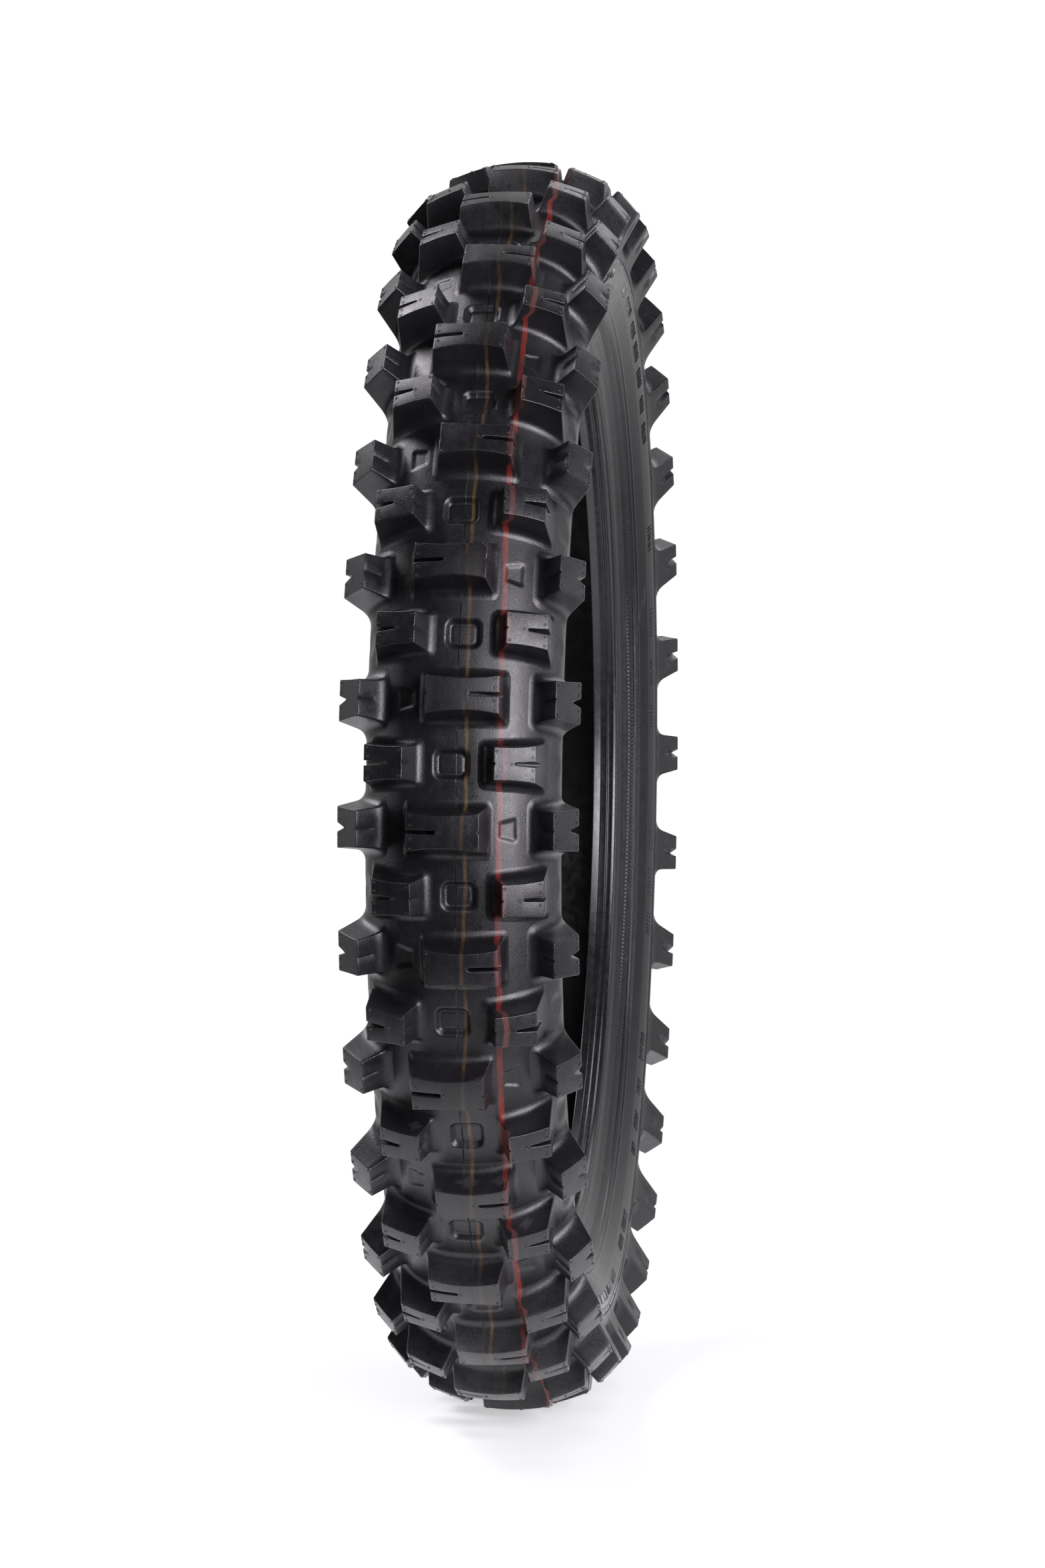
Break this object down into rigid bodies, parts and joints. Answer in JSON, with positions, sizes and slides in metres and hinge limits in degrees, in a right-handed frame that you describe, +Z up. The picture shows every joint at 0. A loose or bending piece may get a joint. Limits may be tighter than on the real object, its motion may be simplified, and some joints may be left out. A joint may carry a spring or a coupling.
{
  "type": "motorcycle tire",
  "caption": "Knobby off-road motorcycle tire, unmounted, layered as cap, plies, liner, sidewalls and wire beads, for a spoked off-road wheel.",
  "frame": {"origin": "centre of the tire, where its spin axis crosses the mid plane of the tread", "axes": "+Y along the spin axis, towards the sidewall that the picture shows; +Z up, with the tire standing on its tread; +X across the wheel"},
  "size_m": [0.682, 0.1184, 0.682],
  "materials": {
    "tread_rubber": "satin black rubber",
    "tread_base_rubber": "matt rubber, hidden",
    "breaker_cord": "rubbered nylon cord, hidden",
    "carcass_cord": "rubbered nylon cord, hidden",
    "liner_rubber": "thin smooth rubber",
    "sidewall_rubber": "satin charcoal rubber",
    "bead_wire": "bronze-coated steel wire bundle, hidden",
    "bead_wrap_fabric": "rubbered fabric, hidden",
    "bead_filler_rubber": "hard rubber, hidden",
    "chafer_fabric": "rubbered fabric, hidden",
    "rim_cushion_rubber": "satin black rubber"
  },
  "bodies": {
    "root": {"tread_cap": "tread_rubber", "tread_base": "tread_base_rubber", "breaker_ply_outer": "breaker_cord", "breaker_ply_inner": "breaker_cord", "carcass_ply_outer": "carcass_cord", "carcass_ply_inner": "carcass_cord", "inner_liner": "liner_rubber", "sidewall_left": "sidewall_rubber", "sidewall_right": "sidewall_rubber", "bead_core_left": "bead_wire", "bead_core_right": "bead_wire", "bead_wrap_left": "bead_wrap_fabric", "bead_wrap_right": "bead_wrap_fabric", "bead_filler_left": "bead_filler_rubber", "bead_filler_right": "bead_filler_rubber", "chafer_left": "chafer_fabric", "chafer_right": "chafer_fabric", "rim_cushion_left": "rim_cushion_rubber", "rim_cushion_right": "rim_cushion_rubber"}
  },
  "joints": []
}
